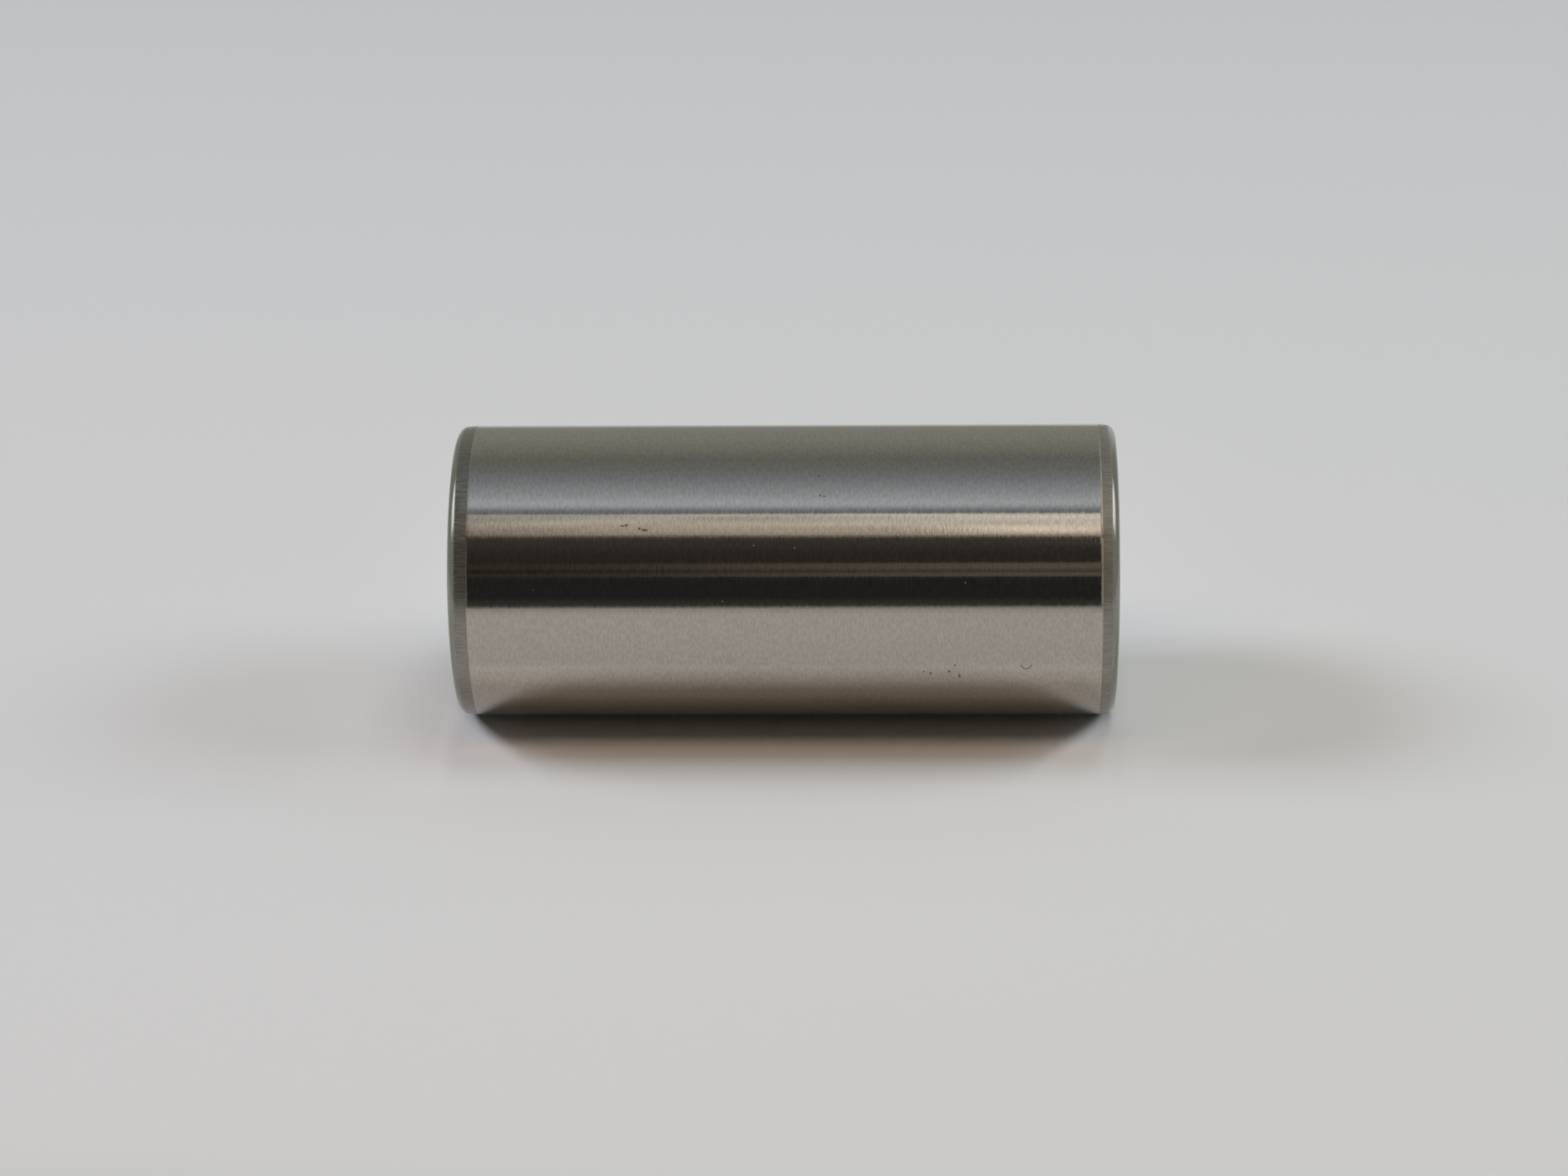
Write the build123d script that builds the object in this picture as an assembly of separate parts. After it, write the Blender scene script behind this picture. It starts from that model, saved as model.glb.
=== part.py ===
from build123d import *
import math
import os

# Crank pin of a small built-up crankshaft.
# One solid bar of hardened bearing steel joins the two crank webs and carries the big end of
# the connecting rod on its needle bearing. Its ends are pressed into the webs, so each end is
# eased: a shallow ground lead-in slopes down from the bearing surface, and a polished round
# turns it over into the flat end face.
# The pin stands on one end face. The origin is the centre of that face, and +Z is the axis.

# Driving dimensions in millimetres and degrees

# ground diameter, the same under the needle bearing and in both webs
pin_diameter = 22.0
# overall length from end face to end face
pin_length = 49.6
# length of the eased end, from the end face to where the lead-in meets the full diameter
eased_length = 1.45
# slope of the lead-in against the axis
lead_angle = 5.0
# round between the lead-in and the end face
corner_radius = 0.7
# soft break between the lead-in and the full diameter
break_radius = 2.5

# Sizes that follow from them

pin_radius = pin_diameter / 2
# the radius that the lead-in would reach at the end face, before the corner is rounded
end_radius = pin_radius - eased_length * math.tan(math.radians(lead_angle))


def half_section():
    """Outline of the pin on one side of its axis, with both ends eased alike."""
    profile = FilletPolyline(
        (0, 0),
        (end_radius, 0),
        (pin_radius, eased_length),
        (pin_radius, pin_length - eased_length),
        (end_radius, pin_length),
        (0, pin_length),
        radius=[corner_radius, break_radius, break_radius, corner_radius],
    )
    along_axis = Line((0, pin_length), (0, 0))
    return make_face(Plane.XZ * (profile + along_axis))


def crank_pin():
    """The whole pin: the half section turned once round the axis."""
    return revolve(half_section(), Axis.Z)


os.makedirs("parts", exist_ok=True)
export_step(crank_pin(), "parts/crank_pin.step")
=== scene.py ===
# %% [markdown]
# # A hardened and superfinished crank pin
#
# The real object is one solid bar of bearing steel. It joins the two webs of a small built-up
# crankshaft, and the connecting rod's needle rollers run on it, so its wall is close to a mirror.
# A mirror has hardly any look of its own: it shows the room. So this lesson makes three things with
# equal care: the true outline of the pin, the fine grain that each grinding step left on it, and
# the studio that it reflects.
#
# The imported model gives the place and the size. It stands on its lower end, with its axis along Z.

# %% Load the frame
import math

import bmesh
import bpy
from mathutils import Matrix, Quaternion, Vector


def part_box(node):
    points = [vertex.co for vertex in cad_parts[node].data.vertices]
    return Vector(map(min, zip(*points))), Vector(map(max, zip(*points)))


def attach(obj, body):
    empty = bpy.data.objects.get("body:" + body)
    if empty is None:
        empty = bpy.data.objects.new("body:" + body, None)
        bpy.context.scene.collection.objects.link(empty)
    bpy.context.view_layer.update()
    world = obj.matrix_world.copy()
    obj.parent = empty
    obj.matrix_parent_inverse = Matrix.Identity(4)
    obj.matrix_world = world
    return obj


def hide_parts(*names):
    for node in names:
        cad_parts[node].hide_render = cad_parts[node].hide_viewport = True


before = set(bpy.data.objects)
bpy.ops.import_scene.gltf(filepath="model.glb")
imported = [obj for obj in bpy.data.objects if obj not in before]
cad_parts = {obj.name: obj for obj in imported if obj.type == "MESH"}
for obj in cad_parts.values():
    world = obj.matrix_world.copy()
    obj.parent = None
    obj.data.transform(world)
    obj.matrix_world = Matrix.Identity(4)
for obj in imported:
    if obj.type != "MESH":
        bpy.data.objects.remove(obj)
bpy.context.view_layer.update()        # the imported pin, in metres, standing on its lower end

MM = 0.001
low_corner, high_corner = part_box("crank_pin")
pin_radius = (high_corner[0] - low_corner[0]) / 2
pin_length = high_corner[2] - low_corner[2]
pin_centre = Vector((0, 0, pin_length / 2))
print(f"pin: {pin_radius / MM:.2f} mm radius, {pin_length / MM:.2f} mm long")

# %% [markdown]
# ## The blank
#
# The real pin starts as a turned bar. A cylinder primitive is the same start here. Its wall has
# many narrow faces, because a near mirror shows every facet of a coarse one along its outline.

# %% Turn the blank
wall_faces = 256


def start_fresh():
    """Deselect everything, so that the next operator acts only on what it is given."""
    bpy.ops.object.select_all(action="DESELECT")


start_fresh()
bpy.ops.mesh.primitive_cylinder_add(
    vertices=wall_faces, radius=pin_radius, depth=pin_length, end_fill_type="NGON", location=pin_centre
)
pin = bpy.context.active_object
pin.name = "hardened_steel_pin"
pin.data.name = "hardened_steel_pin"
bpy.ops.object.transform_apply(location=True, rotation=True, scale=True)
print("blank:", len(pin.data.polygons), "faces")

# %% [markdown]
# ## The eased ends
#
# Each end is pressed into a crank web. A lead-in is ground on it at five degrees, so that it centres
# itself, and the sharp corner is tumbled to a small polished round. The lead-in could be modelled as
# a separate cone, but a cut through the blank keeps one closed skin: the wall is cut where the
# lead-in starts, and the rim is then drawn in.

# %% Cut and draw in the lead-ins
lead_length = 1.45 * MM
# the wheel ran out a little sooner at the lower end, and a little later at the upper one
run_out = 0.09 * MM
lead_slope = math.radians(5)
rim_radius = pin_radius - lead_length * math.tan(lead_slope)
near = 0.001 * MM


def select(kind, is_wanted):
    """Select only the vertices, edges or faces of the pin, in edit mode, that is_wanted accepts."""
    bpy.ops.mesh.select_mode(type={"verts": "VERT", "edges": "EDGE", "faces": "FACE"}[kind])
    bpy.ops.mesh.select_all(action="DESELECT")
    mesh = bmesh.from_edit_mesh(pin.data)
    chosen = [part for part in getattr(mesh, kind) if is_wanted(part)]
    for part in chosen:
        part.select = True
    mesh.select_flush_mode()
    bmesh.update_edit_mesh(pin.data)
    return len(chosen)


def all_at(heights):
    """Accept an edge whose two vertices both lie at one of the heights."""
    return lambda edge: any(all(abs(v.co.z - height) < near for v in edge.verts) for height in heights)


bpy.ops.object.mode_set(mode="EDIT")
lead_starts = (lead_length - run_out, pin_length - lead_length - run_out)
for height in lead_starts:
    bpy.ops.mesh.select_all(action="SELECT")
    bpy.ops.mesh.bisect(plane_co=(0, 0, height), plane_no=(0, 0, 1))

rims = (0, pin_length)
print("rim edges:", select("edges", all_at(rims)))
draw_in = rim_radius / pin_radius
bpy.ops.transform.resize(value=(draw_in, draw_in, 1), center_override=(0, 0, 0))

# %% [markdown]
# ## The corner rounds and the soft breaks
#
# The corner round catches the lamps as a bright bead at each end, so it gets real geometry and not
# a shading trick. A bevel of many segments is the quickest way, and its width follows from the
# radius and from how far the surface turns there. Where the grinding wheel ran out, the lead-in
# meets the wall in a soft break, which is a much flatter bevel.

# %% Round the corners and break the edges
corner_radius = 0.7 * MM
break_radius = 2.5 * MM
quarter_turn = math.radians(90)


def bevel(heights, radius, turn, segments):
    """Round the rings of edges at the heights, where the surface turns by the given angle."""
    select("edges", all_at(heights))
    bpy.ops.mesh.bevel(
        offset_type="OFFSET", offset=radius * math.tan(turn / 2), segments=segments, profile=0.5
    )


bevel(rims, corner_radius, quarter_turn - lead_slope, segments=14)
bevel(lead_starts, break_radius, lead_slope, segments=4)

# %% [markdown]
# ## The end faces
#
# An end face is flat, and round shading would darken it towards its rim. Insetting it gives the
# flat part an edge loop of its own close to the round, which keeps the shading flat.

# %% Inset the end faces
face_margin = 0.3 * MM


def is_end_face(face):
    """Accept the large flat face at each end."""
    return abs(face.normal.z) > 0.999 and face.calc_area() > 1 * MM * MM


print("end faces:", select("faces", is_end_face))
bpy.ops.mesh.inset(thickness=face_margin)
bpy.ops.mesh.select_all(action="SELECT")
bpy.ops.mesh.normals_make_consistent(inside=False)
bpy.ops.object.mode_set(mode="OBJECT")

bpy.ops.object.shade_smooth()
bpy.ops.object.modifier_add(type="WEIGHTED_NORMAL")
pin.modifiers[-1].keep_sharp = True
bpy.ops.object.modifier_apply(modifier=pin.modifiers[-1].name)
print("pin:", len(pin.data.polygons), "faces,", [round(side / MM, 3) for side in pin.dimensions], "mm")

# %% [markdown]
# ## Helpers for the finishes
#
# Colours are written as in a paint shop, in sRGB hex, and one function turns them to the linear
# light that the renderer works in. One more function adds a shader node. It could be done with a
# line for each setting and each link, but one call for a node keeps a long tree readable.

# %% Colour and node helpers
def linear(hex_colour):
    """Linear red, green, blue and alpha of an sRGB hex colour."""
    channels = [int(hex_colour[i:i + 2], 16) / 255 for i in (0, 2, 4)]
    return (*(c / 12.92 if c <= 0.04045 else ((c + 0.055) / 1.055) ** 2.4 for c in channels), 1)


def add(tree, kind, inputs, **settings):
    """Add a node with its settings. Each input is a value, or a socket to link from."""
    node = tree.nodes.new(kind)
    for name, value in settings.items():
        setattr(node, name, value)
    for name, value in inputs.items():
        if isinstance(value, bpy.types.NodeSocket):
            tree.links.new(value, node.inputs[name])
        else:
            node.inputs[name].default_value = value
    return node


def empty_tree(owner):
    """Switch a material or world to nodes, and hand back its tree with no node in it."""
    owner.use_nodes = True
    owner.node_tree.nodes.clear()
    return owner.node_tree


print("mid grey in linear light:", round(linear("808080")[0], 3))

# %% Helpers for what varies over a surface
def fill_ramp(node, stops):
    """Fill a colour ramp with (position, hex colour) stops, the positions rising from 0 to 1."""
    elements = node.color_ramp.elements
    elements[0].position, elements[1].position = stops[0][0], stops[-1][0]
    elements[0].color, elements[1].color = linear(stops[0][1]), linear(stops[-1][1])
    for position, colour in stops[1:-1]:
        elements.new(position).color = linear(colour)


def ramp(tree, value, stops):
    """Colour that follows a value through (value, hex colour) stops."""
    start, end = stops[0][0], stops[-1][0]
    share = add(tree, "ShaderNodeMapRange", {"Value": value, "From Min": start, "From Max": end})
    node = add(tree, "ShaderNodeValToRGB", {"Fac": share.outputs["Result"]})
    fill_ramp(node, [((stop - start) / (end - start), colour) for stop, colour in stops])
    return node.outputs["Color"]


def blend(tree, share, first, second, how="MIX"):
    """Mix two colours by a share. A Mix node takes colours at inputs 6 and 7 and gives one at output 2."""
    return add(
        tree, "ShaderNodeMix", {0: share, 6: first, 7: second}, data_type="RGBA", blend_type=how
    ).outputs[2]


# %% [markdown]
# ## Directions round the pin
#
# Directions are counted as on a clock laid over the pin's end. In the photograph the pin lies on
# paper. 0 degrees runs along the paper to the front, 90 degrees points straight away from the paper
# and 180 degrees to the back. The frame holds the pin upright, so here the paper stands like a wall.

# %% Directions
camera_height = math.radians(24)
upper_end = Vector((0, 0, 1))
to_front = Vector((-math.sin(camera_height), -math.cos(camera_height), 0))
off_paper = Vector((math.cos(camera_height), -math.sin(camera_height), 0))


def direction(round_pin, along_pin=0.0):
    """Unit vector at an angle round the pin and another towards its upper end, in degrees."""
    a, b = math.radians(round_pin), math.radians(along_pin)
    return (to_front * math.cos(a) + off_paper * math.sin(a)) * math.cos(b) + upper_end * math.sin(b)


print("off the paper:", [round(part, 3) for part in direction(90)])

# %% [markdown]
# ## The finishes
#
# Hardened bearing steel is a slightly warm grey metal. All four finishes are that steel and differ
# in how the last tool left the surface.
#
# - Superfinished: an oscillating stone leaves a near mirror with a fine grain that runs round the pin.
# - Plunge ground: the lead-in is dull, with fine lines along the pin.
# - Tumbled: the corner round is smooth and mirrors softly.
# - Faced: the end faces carry fine rings and mirror softly.
#
# The grain could be painted as a colour, but real grain is relief: it shows only where it bends or
# spreads a reflection. So it goes into the bump and the roughness, and only faintly into the colour,
# because the hollows hold a little dirt.

# %% The grain
per_mm = 1 / MM
# both patterns keep mostly between these two values
low_tone, high_tone = 0.35, 0.65


def grain(tree, size):
    """Noise whose grains have the given size along X, Y and Z, in millimetres."""
    place = add(tree, "ShaderNodeTexCoord", {}).outputs["Object"]
    stretch = [per_mm / side for side in size]
    stretched = add(tree, "ShaderNodeMapping", {"Vector": place, "Scale": stretch}).outputs["Vector"]
    noise = {"Vector": stretched, "Scale": 1.0, "Detail": 2.0, "Roughness": 0.55}
    return add(tree, "ShaderNodeTexNoise", noise).outputs["Fac"]


def turning_rings(tree, pitch):
    """Rings round the pin's axis with the given pitch, in millimetres, a little uneven."""
    place = add(tree, "ShaderNodeTexCoord", {}).outputs["Object"]
    # the wave texture has 20 / (2 pi) rings for each unit of its scale
    waves = {
        "Vector": place, "Scale": 2 * math.pi / 20 * per_mm / pitch,
        "Distortion": 2.0, "Detail": 2.0, "Detail Scale": 0.5,
    }
    return add(tree, "ShaderNodeTexWave", waves, wave_type="RINGS", rings_direction="Z").outputs["Fac"]


print("patterns: grain and turning rings")

# %% Steel from one pattern
def steel(name, colours, pattern, size, relief, smooth, rough):
    """Steel with one pattern that shapes relief, gloss and tone. Hands back it, its tree and shader.

    The pattern's size and the relief are in millimetres, and smooth and rough are roughnesses.
    """
    finish = bpy.data.materials.new(name)
    tree = empty_tree(finish)
    height = pattern(tree, size)
    bump = add(tree, "ShaderNodeBump", {"Height": height, "Strength": 1.0, "Distance": relief * MM})
    span = {
        "Value": height, "From Min": low_tone, "From Max": high_tone, "To Min": smooth, "To Max": rough,
    }
    gloss = add(tree, "ShaderNodeMapRange", span)
    tone = add(tree, "ShaderNodeValToRGB", {"Fac": height})
    fill_ramp(tone, ((low_tone, colours[0]), (high_tone, colours[1])))
    shader = add(
        tree, "ShaderNodeBsdfPrincipled",
        {
            "Base Color": tone.outputs["Color"], "Metallic": 1.0,
            "Roughness": gloss.outputs["Result"], "Normal": bump.outputs["Normal"],
        },
    )
    add(tree, "ShaderNodeOutputMaterial", {"Surface": shader.outputs["BSDF"]})
    return finish, tree, shader


# %% The steel finishes
# The stone leaves grains about 0.05 mm wide and longer round the pin. They are drawn three times as
# wide, so that they show.
superfinished, wall_tree, wall_shader = steel(
    "superfinished_bearing_steel", ("AEA89F", "BCB6AD"), grain, (0.4, 0.4, 0.15),
    relief=0.0022, smooth=0.06, rough=0.09,
)
# The grinding lines lie 0.05 mm apart on the real pin, and are drawn 0.13 mm apart for the same reason.
plunge_ground, _, _ = steel(
    "plunge_ground_lead_in", ("86817A", "98938C"), grain, (0.13, 0.13, 1.8),
    relief=0.002, smooth=0.2, rough=0.3,
)
# Stones in a tumbling drum leave the corner smooth, with hardly any grain.
tumbled, _, _ = steel(
    "tumbled_corner_steel", ("8E8E86", "959590"), grain, (0.2, 0.2, 0.2),
    relief=0.0006, smooth=0.12, rough=0.16,
)
# Facing leaves rings 0.08 mm apart, which spread a reflection outwards. They are drawn 0.3 mm apart.
faced, _, _ = steel(
    "faced_end_steel", ("A59F96", "ADA79E"), turning_rings, 0.3,
    relief=0.0008, smooth=0.26, rough=0.32,
)
print("finishes:", [finish.name for finish in (superfinished, plunge_ground, tumbled, faced)])

# %% [markdown]
# ## The marks of use
#
# A few tiny pits and specks sit on the wall. A pit spreads the reflection, so it looks dark in a
# bright band and pale in a dark one. Each is a soft spot of roughness at its own place. Cutting
# them into the mesh would need thousands of faces for something a tenth of a millimetre wide.

# %% Marks on the wall
# angle round the pin, height in mm, half width round the pin and half width along it in mm
dark_pits = [
    (41.1, 36.30, 0.12, 0.17), (40.9, 36.58, 0.08, 0.22), (39.8, 35.34, 0.12, 0.12),
    (39.2, 34.96, 0.13, 0.34), (62.8, 22.17, 0.17, 0.10), (53.6, 22.05, 0.10, 0.12),
    (53.1, 21.74, 0.08, 0.22), (-19.8, 14.43, 0.10, 0.10), (-20.7, 13.93, 0.15, 0.13),
    (-19.8, 12.56, 0.12, 0.15), (-22.2, 11.78, 0.27, 0.11), (-16.5, 12.13, 0.13, 0.08),
]
dust_specks = (
    (33.0, 26.91, 0.10, 0.10), (32.1, 23.91, 0.10, 0.10), (18.6, 11.37, 0.10, 0.10),
    (11.5, 29.21, 0.09, 0.08), (16.0, 43.16, 0.09, 0.08), (22.1, 3.16, 0.09, 0.13),
)
# a curl as fine as a hair, open at its upper side, as a row of small pits along an arc
curl_pits = 7
for step in range(curl_pits):
    turn = math.radians(200 + 140 * step / (curl_pits - 1))
    dark_pits.append((-15.9 + 2.4 * math.sin(turn), 6.87 - 0.38 * math.cos(turn), 0.08, 0.11))
print("marks:", len(dark_pits), "pits and", len(dust_specks), "specks")

# %% A mask for small marks
def spots(tree, marks):
    """Mask that is 1 in the middle of each mark and 0 outside them."""
    place = add(tree, "ShaderNodeTexCoord", {}).outputs["Object"]
    mask = None
    for angle, height, half_round, half_along in marks:
        way = direction(angle)
        centre = way * pin_radius + upper_end * height * MM
        turn = (0, 0, math.atan2(way.y, way.x))
        size = (1 * MM, half_round * MM, half_along * MM)
        around = add(
            tree, "ShaderNodeMapping",
            {"Vector": place, "Location": centre, "Rotation": turn, "Scale": size}, vector_type="TEXTURE",
        )
        spot = add(
            tree, "ShaderNodeTexGradient", {"Vector": around.outputs["Vector"]}, gradient_type="SPHERICAL"
        ).outputs["Fac"]
        if mask is not None:
            spot = add(tree, "ShaderNodeMath", {0: mask, 1: spot}, operation="MAXIMUM").outputs["Value"]
        mask = spot
    return mask


# %% Put the marks into the wall's finish
dark_pit_mask = spots(wall_tree, dark_pits)
dust = spots(wall_tree, dust_specks)
# dust lies loose and hides only half of the mirror under it
faint_dust = add(wall_tree, "ShaderNodeMath", {0: dust, 1: 0.5}, operation="MULTIPLY").outputs["Value"]
marked = add(wall_tree, "ShaderNodeMath", {0: dark_pit_mask, 1: faint_dust}, operation="MAXIMUM").outputs["Value"]
plain_gloss = wall_shader.inputs["Roughness"].links[0].from_socket
marked_gloss = add(
    wall_tree, "ShaderNodeMapRange",
    {"Value": marked, "From Min": 0.0, "From Max": 0.5, "To Min": 0.0, "To Max": 0.5},
)
gloss = add(
    wall_tree, "ShaderNodeMath", {0: plain_gloss, 1: marked_gloss.outputs["Result"]}, operation="MAXIMUM"
)
wall_tree.links.new(gloss.outputs["Value"], wall_shader.inputs["Roughness"])
plain_tone = wall_shader.inputs["Base Color"].links[0].from_socket
# the dark pits are also drawn darker in colour, blending towards this tone in their middles
dark_pit_share = add(wall_tree, "ShaderNodeMapRange", {"Value": dark_pit_mask, "From Min": 0.0, "From Max": 0.5})
dark_pit_tone = "80796B"
wall_tone = blend(wall_tree, dark_pit_share.outputs["Result"], plain_tone, linear(dark_pit_tone))
wall_tree.links.new(wall_tone, wall_shader.inputs["Base Color"])
print("wall finish:", len(wall_tree.nodes), "nodes")

# %% [markdown]
# ## Where each finish lies
#
# The tools met the surface at clear borders, so each face of the mesh takes one finish by its place
# along the axis and by the way it points. A painted mask would do the same, but faces need no
# second set of numbers.

# %% Give each face its finish
for finish in (superfinished, plunge_ground, tumbled, faced):
    pin.data.materials.append(finish)
WALL, LEAD_IN, CORNER, END = range(4)
# the lead-in's border lies high on the soft break, where nine tenths of its turn are done
cone_slope = math.sin(0.91 * lead_slope)
# the grinding lines run a little way into the corner round, up to where it leans this much
polish_starts = math.sin(math.radians(17))
flat = 0.9999
counts = [0, 0, 0, 0]
for face in pin.data.polygons:
    if abs(face.normal.z) > flat:
        face.material_index = END
    elif abs(face.normal.z) > polish_starts:
        face.material_index = CORNER
    elif abs(face.normal.z) > cone_slope:
        face.material_index = LEAD_IN
    else:
        face.material_index = WALL
    counts[face.material_index] += 1
print("faces of wall, lead-in, corner and end:", counts)

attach(pin, "root")
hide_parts("crank_pin")

# %% [markdown]
# ## The sheet of paper
#
# In the photograph the pin lies on white paper, which reaches far behind it and ends a hand's
# breadth in front of it. That front edge shows in the steel as a dark horizon, and it runs a little
# askew to the pin. The sheet stands like a wall here and touches the pin along one line. A plane is
# enough for it, because its thickness never shows.

# %% Lay the paper against the pin
def facing(way, turn=0.0):
    """Rotation that points an object's Z axis along way and its Y axis up the pin, then turns it."""
    return (Quaternion(way, turn) @ way.to_track_quat("Z", "Y")).to_euler()


paper_front = 165 * MM
paper_back = 400 * MM
paper_width = 520 * MM
paper_turn = math.radians(-5)
paper_ahead = to_front * math.cos(paper_turn) - upper_end * math.sin(paper_turn)
paper_middle = pin_centre - off_paper * pin_radius + paper_ahead * (paper_front - paper_back) / 2
start_fresh()
bpy.ops.mesh.primitive_plane_add(size=1, location=paper_middle, rotation=facing(off_paper, paper_turn))
paper = bpy.context.active_object
paper.name = "paper_sheet"
paper.scale = (paper_front + paper_back, paper_width, 1)
bpy.ops.object.transform_apply(location=False, rotation=False, scale=True)

# %% [markdown]
# Paper scatters light evenly, so a plain diffuse shader is right. Its front part sags off the table's
# edge into the dark, so painted shade darkens its colour there, out of the picture and straight ahead of
# the pin.

# %% The paper's tone and its painted shade
OFF, ON = "000000", "FFFFFF"
paper_colour = "E6E6E6"
paper_finish = bpy.data.materials.new("uncoated_white_paper")
paper_finish.cycles.emission_sampling = "NONE"
paper_tree = empty_tree(paper_finish)
paper_place = add(paper_tree, "ShaderNodeTexCoord", {}).outputs["Object"]


def from_contact(turn):
    """Millimetres ahead of the line where pin and paper touch, and towards the upper end."""
    place = {
        "Vector": paper_place, "Location": ((paper_front - paper_back) / 2, 0, 0),
        "Rotation": (0, 0, turn), "Scale": (-MM, MM, MM),
    }
    millimetres = add(paper_tree, "ShaderNodeMapping", place, vector_type="TEXTURE").outputs["Vector"]
    parts = add(paper_tree, "ShaderNodeSeparateXYZ", {"Vector": millimetres})
    return parts.outputs["X"], parts.outputs["Y"]


# counted along the sheet's own sides, which lie askew to the pin
sheet_ahead, _ = from_contact(0)
# painted shade: the paper's colour darkens towards the sheet's front edge
paper_tone_with_painted_shade = ramp(paper_tree, sheet_ahead, (
    (68, paper_colour), (80, "DEDEDE"), (110, "D0CFCE"), (125, "B4B3B1"), (140, "8A8987"), (165, "5A5958"),
))
# counted square to the pin
ahead, along = from_contact(-paper_turn)
# far to the sides the painted shade gives way to plain paper colour
far_aside = ramp(paper_tree, along, ((-75, ON), (-45, OFF), (55, OFF), (85, ON)))
paper_tone_with_painted_shade = blend(paper_tree, far_aside, paper_tone_with_painted_shade, linear(paper_colour))
print("paper:", round((paper_front + paper_back) / MM), "by", round(paper_width / MM), "mm")

# %% [markdown]
# Light that the pin throws back on the paper is weak, and would take the renderer very many samples.
# So the paper carries it as a faint glow: beside the two end faces for every view, and under the pin
# for the steel alone. That second part also keeps the hidden side from being black from behind.

# %% Light under the pin and beside its end faces
under_the_pin = ramp(paper_tree, ahead, (
    (-10, OFF), (-6.5, "7C7C7C"), (0.4, "7C7C7C"), (1.8, "303030"), (2.8, "0C0C0C"), (5, "202020"),
    (6.4, "362D27"), (7.5, OFF), (10.3, OFF), (11.7, "3A382A"), (12.5, "454440"), (14.7, "474848"),
    (15, "525350"), (15.3, "464645"), (16, "1A1A1A"), (16.8, OFF),
))
beside_the_ends = blend(
    paper_tree, 1.0,
    ramp(paper_tree, ahead, (
        (-60, OFF), (-43, "353535"), (-25, "3C3C3C"), (-16, "353535"), (-11, "242424"), (-6, "393939"),
        (3, "424242"), (7, "4C4C4C"), (11, "454545"), (15, "2A2A2A"), (19, OFF),
    )),
    ramp(paper_tree, along, (
        (-38, OFF), (-31, "808080"), (-26, "B0B0B0"), (-24.5, OFF),
        (24.5, OFF), (26, ON), (31, "959595"), (38, OFF),
    )),
    "MULTIPLY",
)

# %% Light off the lead-ins
# They throw a stronger patch ahead of each end, which the pin's shadow cuts off at a slant.
upper_slant, lower_slant = math.radians(32), math.radians(-34.5)
past_the_shadow = blend(
    paper_tree, 1.0,
    ramp(paper_tree, from_contact(upper_slant - paper_turn)[1], ((21.7, OFF), (22.9, "E7E7E7"))),
    ramp(paper_tree, from_contact(lower_slant - paper_turn)[1], ((-22.5, ON), (-21.2, OFF))),
    "ADD",
)
near_the_ends = ramp(paper_tree, along, (
    (-26.2, OFF), (-24.9, "8F8F8F"), (-24.2, "EEEEEE"), (-23.4, ON),
    (24.2, ON), (25.2, "C4C4C4"), (27, OFF),
))
off_the_lead_ins = ramp(paper_tree, ahead, (
    (0, OFF), (1.2, "616161"), (2.5, "6C6C6C"), (6.2, "6E6E6E"), (7.1, "696969"), (8, "616161"),
    (9, "5C5C5C"), (9.9, "555555"), (10.8, "464646"), (11.7, "3C3C3C"), (13.5, "2C2C2C"), (17, OFF),
))
patches = blend(paper_tree, 1.0, past_the_shadow, near_the_ends, "MULTIPLY")
patches = blend(paper_tree, 1.0, patches, off_the_lead_ins, "MULTIPLY")
beside_the_ends = blend(paper_tree, 1.0, beside_the_ends, patches, "ADD")

# %% [markdown]
# Seen from behind, the sheet lets the view through, so that the pin can be looked at from all sides.

# %% Paper finish
only_steel = add(paper_tree, "ShaderNodeLightPath", {}).outputs["Is Glossy Ray"]
paper_light = blend(paper_tree, only_steel, beside_the_ends, under_the_pin, "ADD")
paper_glow = add(paper_tree, "ShaderNodeEmission", {"Color": paper_light, "Strength": 1.0})
paper_diffuse = add(paper_tree, "ShaderNodeBsdfDiffuse", {"Color": paper_tone_with_painted_shade})
seen_from_ahead = add(
    paper_tree, "ShaderNodeAddShader", {0: paper_diffuse.outputs["BSDF"], 1: paper_glow.outputs["Emission"]}
).outputs["Shader"]
seen_from_behind = add(paper_tree, "ShaderNodeBsdfTransparent", {}).outputs["BSDF"]
behind = add(paper_tree, "ShaderNodeNewGeometry", {}).outputs["Backfacing"]
paper_mix = add(
    paper_tree, "ShaderNodeMixShader", {"Fac": behind, 1: seen_from_ahead, 2: seen_from_behind}
)
add(paper_tree, "ShaderNodeOutputMaterial", {"Surface": paper_mix.outputs["Shader"]})
paper.data.materials.append(paper_finish)
print("paper finish:", len(paper_tree.nodes), "nodes")

# %% [markdown]
# ## The studio that the steel reflects
#
# A round pin squeezes the whole room into its wall: each line along it mirrors one direction. The
# photograph's dark and pale bands are therefore the room, seen from the front, over the top and
# down the back. A picture wrapped round the scene could show them, but bands that are drawn by their
# angle stay sharp. So a big tent round the pin, which only the steel sees, carries them as glow.

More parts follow.
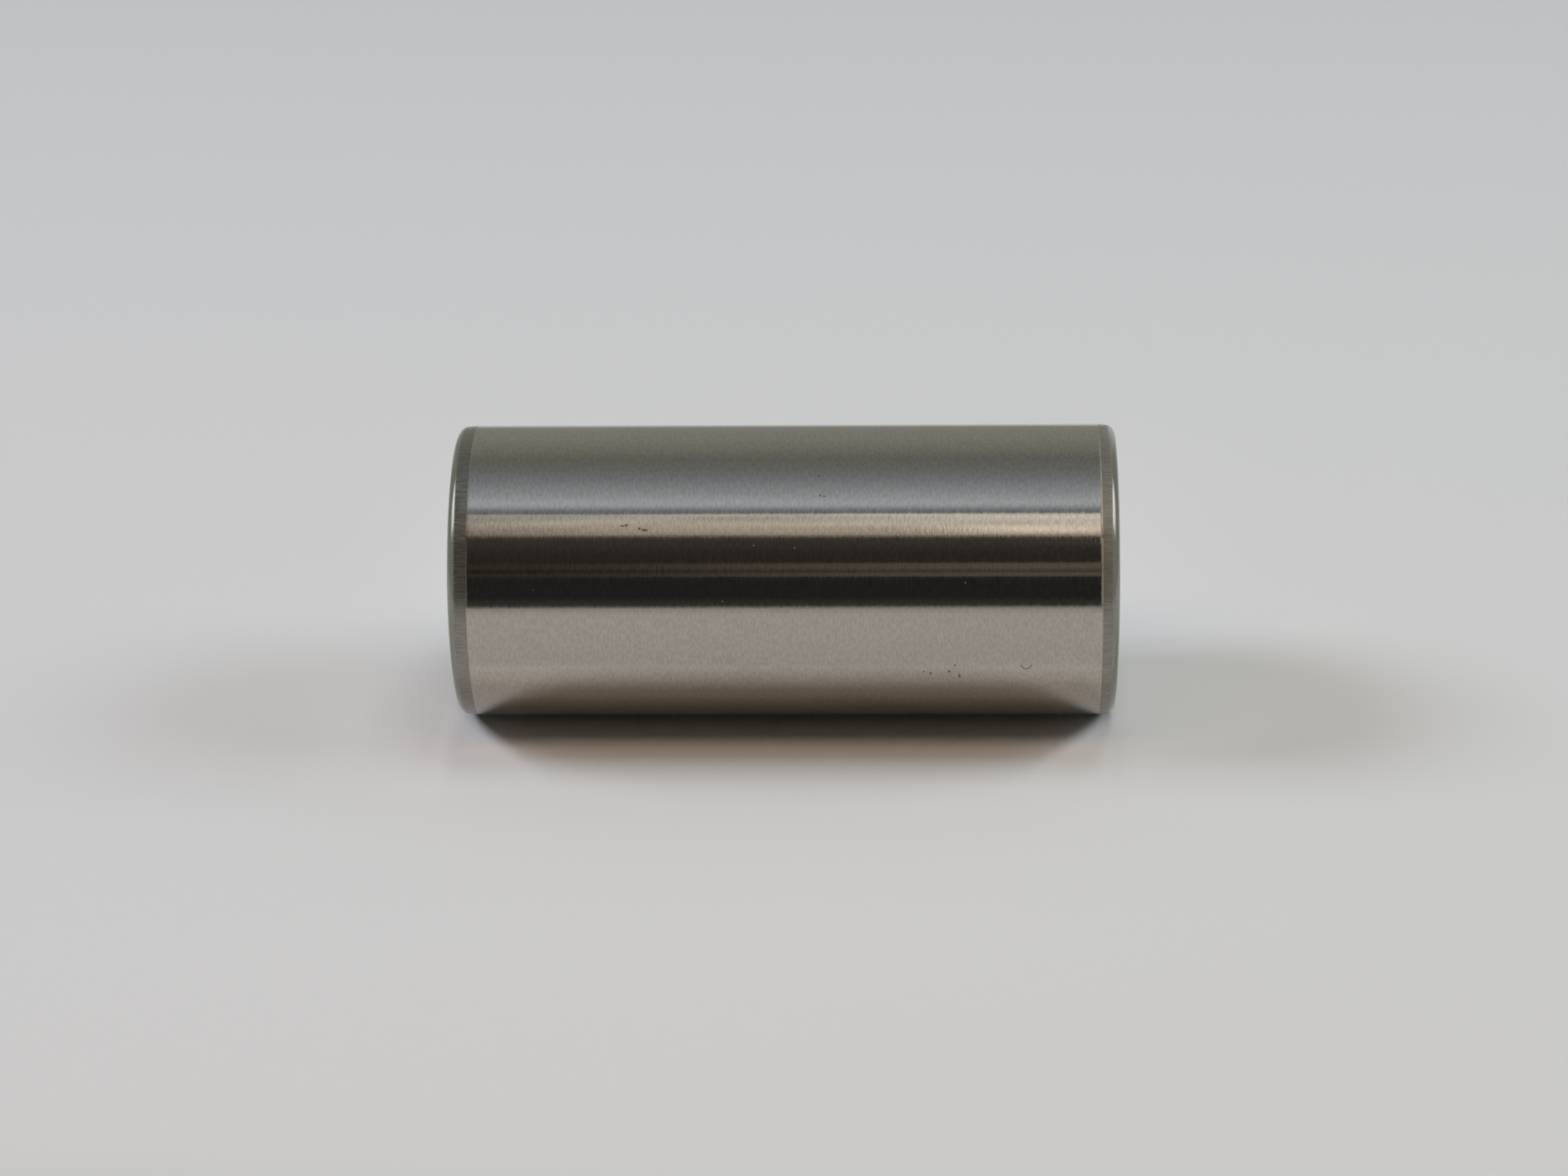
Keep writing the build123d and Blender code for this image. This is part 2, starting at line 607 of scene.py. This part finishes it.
# %% What the steel sees
# angle round the pin, and the colour in that direction
room = (
    (-6, "3E3E3C"),
    (-1.5, "3C3C3A"),  # table in front of the paper
    (1.5, "2C2D2D"),
    (15, "2C2D2D"),    # dark room behind the camera
    (18, "33312F"),
    (36, "383634"),
    (43, "444341"),
    (49.5, "4A443C"),  # under the beige wall
    (66, "7A8288"),
    (69.3, "818A92"),  # dim gap over the beige wall
    (71.5, "929CA5"),
    (73.2, "B1BBC6"),
    (75.5, "CCD6E1"),
    (78, "CEDAE5"),    # light ceiling over the pin
    (86, "B6BECA"),
    (99, "989EA7"),
    (109, "888C90"),
    (121, "80837F"),
    (135, "959790"),
    (150, "9DA099"),
    (180, "96978E"),   # wall behind the paper
)
room_beyond_lower_end = (
    (2, "ABA59A"),
    (22, "A59C91"),
    (42, "B4AB9C"),
    (55, "D2C2B1"),
    (69, "F0E2D2"),
    (76, "D6D1C6"),
    (90, "C8C8BF"),
    (108, "C0C5BD"),
    (122, "BABBB5"),
    (165, "D2D6D1"),
)
room_beyond_upper_end = (
    (-2, "7B7B75"),
    (3, "6F6F6B"),
    (16, "726C68"),
    (43, "66645F"),
    (56, "73716A"),
    (66, "787776"),
    (77, "7F8386"),
    (97, "929997"),
    (124, "969C9A"),
    (165, "A9AFAB"),
)
room_at_the_ends = "AFB2A9"
lamp_in_steel = "F6F8FF"
# how many times brighter than paper white a lamp is in the steel
lamp_glare = 3.0
print("room:", len(room + room_beyond_lower_end + room_beyond_upper_end), "colours")

# %% The tent
tent_radius = 3.0
tent_length = 24.0


def glow_panel(obj):
    """Let only reflections see an object, so that it neither blocks the view nor lights the paper."""
    obj.visible_camera = False
    obj.visible_diffuse = False
    obj.visible_transmission = False
    obj.visible_volume_scatter = False
    obj.visible_shadow = False


def glow(name):
    """New glowing material whose light the paper never samples. Hands back it and its tree."""
    material = bpy.data.materials.new(name)
    material.cycles.emission_sampling = "NONE"
    return material, empty_tree(material)


def glowing_cloth(tree, colour, light, strength):
    """Dull cloth of a colour that also glows. The colour tells the denoiser what the steel mirrors."""
    cloth = add(tree, "ShaderNodeBsdfDiffuse", {"Color": colour})
    emission = add(tree, "ShaderNodeEmission", {"Color": light, "Strength": strength})
    both = add(tree, "ShaderNodeAddShader", {0: cloth.outputs["BSDF"], 1: emission.outputs["Emission"]})
    add(tree, "ShaderNodeOutputMaterial", {"Surface": both.outputs["Shader"]})


start_fresh()
bpy.ops.mesh.primitive_cylinder_add(
    vertices=64, radius=tent_radius, depth=tent_length, end_fill_type="NGON", location=pin_centre
)
tent = bpy.context.active_object
tent.name = "studio_tent"
glow_panel(tent)
print("tent:", tent_radius, "m radius,", tent_length, "m long")

# %% The tent's two scales
tent_glow, tent_tree = glow("studio_room_glow")
tent.data.materials.append(tent_glow)
tent_place = add(tent_tree, "ShaderNodeTexCoord", {}).outputs["Object"]
front_angle = math.atan2(to_front.y, to_front.x)
# the colours have their seam under the paper, at this angle, where the steel never sees it
seam = -120
gradient_turn = (0, 0, -front_angle - math.radians(180 + seam))
clock = add(tent_tree, "ShaderNodeMapping", {"Vector": tent_place, "Rotation": gradient_turn})
turn_share = add(
    tent_tree, "ShaderNodeTexGradient", {"Vector": clock.outputs["Vector"]}, gradient_type="RADIAL"
).outputs["Fac"]
tent_height = add(tent_tree, "ShaderNodeSeparateXYZ", {"Vector": tent_place}).outputs["Z"]


def by_angle(stops):
    """Colour of the tent by the angle round the pin, counted from the seam."""
    return ramp(tent_tree, turn_share, [((angle - seam) / 360, colour) for angle, colour in stops])


def by_slope(stops):
    """Colour of the tent by slope: how far a direction rises up the pin for each metre that it goes out."""
    return ramp(tent_tree, tent_height, [(slope * tent_radius, colour) for slope, colour in stops])


print("the seam lies", seam, "degrees round the pin")

# %% Blend the room over to its sides and its lamps
to_lower_end = by_slope(((-0.17, ON), (-0.09, OFF)))
to_upper_end = by_slope(((0.16, OFF), (0.25, ON)))
to_both_ends = by_slope(((-0.7, ON), (-0.45, OFF), (0.45, OFF), (0.7, ON)))
seen = blend(tent_tree, to_lower_end, by_angle(room), by_angle(room_beyond_lower_end))
seen = blend(tent_tree, to_upper_end, seen, by_angle(room_beyond_upper_end))
seen = blend(tent_tree, to_both_ends, seen, linear(room_at_the_ends))
lamp_angles = by_angle(((59, OFF), (67, ON), (100, ON), (114, OFF)))
lamp_slopes = by_slope((
    (-2.6, OFF), (-2.05, "7C7C7C"), (-1.57, "A9A9A9"), (-1.15, "CBCBCB"), (-0.85, ON), (-0.73, ON),
    (-0.62, OFF),
    (0.62, OFF),
    (0.73, ON), (0.85, ON), (1.15, "CBCBCB"), (1.57, "A9A9A9"), (2.05, "7C7C7C"), (2.6, OFF),
))
lamp_share = blend(tent_tree, 1.0, lamp_angles, lamp_slopes, "MULTIPLY")
glare = [lamp_glare * part for part in linear(lamp_in_steel)[:3]] + [1]
glowing_cloth(tent_tree, seen, blend(tent_tree, lamp_share, seen, glare), 1.0)
print("tent glow:", len(tent_tree.nodes), "nodes")

# %% [markdown]
# ## The beige wall and the shelf
#
# One pale warm band with hard edges runs along the pin, and a faint narrow one under it. Both grow
# brighter towards the lower end, as things do that are lit from one side. So they are panels with a
# glow of their own along and across. The wall is rough plaster: its mottling comes out as the fine
# speckle of that band, because the grain of the steel scatters it.

# %% The panels
panel_distance = 2.0


def subtend(angle, distance):
    """Width that covers the angle, in degrees, at the distance."""
    return 2 * distance * math.tan(math.radians(angle) / 2)


def glowing_panel(name, across, lengthwise, strength, distance=panel_distance, mottling=0.0):
    """Panel with a glow across it, by angle round the pin, times one along it, by slope."""
    (bottom, top), (low, high) = (across[0][0], across[-1][0]), (lengthwise[0][0], lengthwise[-1][0])
    way = direction((bottom + top) / 2)
    size = (subtend(top - bottom, distance), (high - low) * distance)
    place = pin_centre + way * distance + upper_end * distance * (low + high) / 2
    start_fresh()
    bpy.ops.mesh.primitive_plane_add(size=1, location=place, rotation=facing(way))
    panel = bpy.context.active_object
    panel.name = name
    panel.scale = (*size, 1)
    bpy.ops.object.transform_apply(location=False, rotation=False, scale=True)
    glow_panel(panel)
    material, tree = glow(name + "_glow")
    panel.data.materials.append(material)
    on_panel = add(tree, "ShaderNodeTexCoord", {}).outputs["Object"]
    parts = add(tree, "ShaderNodeSeparateXYZ", {"Vector": on_panel})
    shades = []
    for part, width, stops in (("X", size[0], across), ("Y", size[1], lengthwise)):
        span = stops[-1][0] - stops[0][0]
        places = [((stop - stops[0][0]) / span * width - width / 2, colour) for stop, colour in stops]
        shades.append(ramp(tree, parts.outputs[part], places))
    light = blend(tree, 1.0, shades[0], shades[1], "MULTIPLY")
    if mottling:
        # blotches eight degrees wide across the panel and half a degree along it
        blotch = [1 / subtend(angle, distance) for angle in (8, 0.5, 1)]
        spread = add(tree, "ShaderNodeMapping", {"Vector": on_panel, "Scale": blotch}).outputs["Vector"]
        noise = add(tree, "ShaderNodeTexNoise", {"Vector": spread, "Scale": 1.0, "Detail": 1.0})
        span = {"Value": noise.outputs["Fac"], "From Min": 0.3, "From Max": 0.7, "To Min": 1 - mottling}
        plaster = add(tree, "ShaderNodeMapRange", span).outputs["Result"]
        light = blend(tree, 1.0, light, plaster, "MULTIPLY")
    glowing_cloth(tree, light, light, strength)
    print(name, [round(side, 2) for side in size], "m")


# %% Hang the panels
# across: angle round the pin and colour. lengthwise: slope towards the upper end and share of the glow
wall_across = (
    (48.4, "4A453F"), (50.2, "867F77"), (51.5, "B9B0A6"), (54.2, "D4C9BD"), (57, "DBD2C7"),
    (68.1, "DADAD6"),
)
wall_lengthwise = (
    (-0.32, "B8B8B8"), (-0.22, "C6C6C6"), (-0.06, "FFFFFF"), (-0.034, "FCFCFC"),
    (-0.011, "E2E2E2"), (0.03, "D5D5D5"), (0.076, "CECECE"), (0.1, "BDBDBD"), (0.17, "9C9C9C"),
    (0.36, "727272"),
)
glowing_panel("beige_wall", wall_across, wall_lengthwise, 2.85, mottling=0.85)

# the wall's lit edge beyond the lower end, which shows as a short bright line beside the lead-in
edge_across = ((42, "807568"), (46, "D0C4B4"), (70, "E0DAD0"), (75, "B0ACA6"))
edge_lengthwise = ((-0.15, "A0A0A0"), (-0.11, "E8E8E8"), (-0.085, "FFFFFF"))
glowing_panel("lit_edge_of_wall", edge_across, edge_lengthwise, 1.2, distance=1.9)

shelf_across = (
    (18.2, "5A574F"), (20.3, "5E5B53"), (21.6, "45413C"), (23, "47433E"), (24.6, "5F5850"),
    (27.8, "5E5850"), (28.8, "504B46"),
)
shelf_lengthwise = (
    (-0.15, "FFFFFF"), (-0.04, "FFFFFF"), (0.031, "DCDCDC"), (0.053, "C4C4C4"), (0.076, "ACACAC"),
    (0.1, "9C9C9C"), (0.2, "949494"),
)
glowing_panel("pale_shelf", shelf_across, shelf_lengthwise, 1.4)

# %% [markdown]
# ## The lamps
#
# Two soft boxes stand high beyond the two ends, and each throws the shadow beyond the other end.
# A third hangs over the pin. Weak light from the beige wall and from the wall behind shapes the
# shadow in front. The steel doesn't see these lamps: a real one is frosted at its rim, so the tent
# draws its softer image in the corner rounds.

# %% The lamps
def soft_box(name, round_pin, along_pin, distance, size, radiance, colour):
    """Rectangular lamp aimed at the pin. Its size is two angles in degrees, round the pin and along it."""
    way = direction(round_pin, along_pin)
    start_fresh()
    bpy.ops.object.light_add(type="AREA", location=pin_centre + way * distance, rotation=facing(way))
    lamp = bpy.context.active_object
    lamp.name = name
    lamp.data.shape = "RECTANGLE"
    lamp.data.size, lamp.data.size_y = (subtend(angle, distance) for angle in size)
    lamp.data.energy = radiance * math.pi * lamp.data.size * lamp.data.size_y
    lamp.data.color = linear(colour)[:3]
    lamp.visible_camera = False
    lamp.visible_glossy = False
    print(name, round(lamp.data.energy, 2), "W")


soft_box("lamp_beyond_upper_end", 97.6, 49.6, 0.91, (24.8, 18.3), 8.61, "EDF1FF")
soft_box("lamp_beyond_lower_end", 95.9, -54.7, 0.84, (33.1, 18.5), 4.44, "F4FAFF")
soft_box("lamp_over_the_pin", 94.8, -8.3, 0.69, (24.1, 21.0), 4.33, "EFFFFE")
soft_box("beige_wall_light", 66.3, 4.2, 0.48, (16.8, 57.6), 2.38, "FFE0C2")
soft_box("back_wall_light", 135.4, -7.4, 1.6, (25.2, 107), 0.47, "FAFAFF")

# %% [markdown]
# ## The world and the camera
#
# The world is the plain pale background that the views from behind show. It gives the paper hardly
# any light, so that the shadow stays as deep as in the photograph.
#
# The camera stands at the photograph's viewing angle: 24 degrees over the paper, with the lower end
# at the right of the picture and a little nearer.

# %% World
background_colour = "CCCECD"
world = bpy.data.worlds.new("plain_background")
bpy.context.scene.world = world
world_tree = empty_tree(world)
ray = add(world_tree, "ShaderNodeLightPath", {})
# the very little light that the paper gets from all round
strength = 0.005
for kind in ("Is Camera Ray", "Is Glossy Ray", "Is Transmission Ray"):
    strength = add(
        world_tree, "ShaderNodeMath", {0: ray.outputs[kind], 1: strength}, operation="MAXIMUM"
    ).outputs["Value"]
background = add(
    world_tree, "ShaderNodeBackground", {"Color": linear(background_colour), "Strength": strength}
)
add(world_tree, "ShaderNodeOutputWorld", {"Surface": background.outputs["Background"]})
print("background:", background_colour)

# %% Camera
lens = 99.7
camera_distance = 330 * MM
nearer_end_turn = math.radians(1.79)
picture_tilt = math.radians(0.11)
# where the pin's centre lies in the picture, right of and above the middle
centre_right, centre_up = 0.223 * MM, 1.40 * MM

# the pin in the camera's own axes: right, up and towards the camera
pin_seen = Vector((
    math.cos(nearer_end_turn) * math.cos(picture_tilt),
    math.cos(nearer_end_turn) * math.sin(picture_tilt),
    math.sin(nearer_end_turn),
))
paper_seen = Vector((0, math.cos(camera_height), math.sin(camera_height)))
paper_seen = (paper_seen - pin_seen * paper_seen.dot(pin_seen)).normalized()
axes_seen = Matrix((pin_seen, paper_seen, pin_seen.cross(paper_seen)))
axes_real = Matrix((-upper_end, off_paper, (-upper_end).cross(off_paper)))
camera_turn = axes_real.transposed() @ axes_seen

start_fresh()
bpy.ops.object.camera_add()
camera = bpy.context.active_object
camera.name = "photograph_camera"
camera.data.lens = lens
camera_place = pin_centre + camera_turn @ Vector((-centre_right, -centre_up, camera_distance))
camera.matrix_world = Matrix.Translation(camera_place) @ camera_turn.to_4x4()
bpy.context.scene.camera = camera
bpy.context.scene.view_settings.view_transform = "Standard"
print("camera at", [round(side / MM) for side in camera_place], "mm")
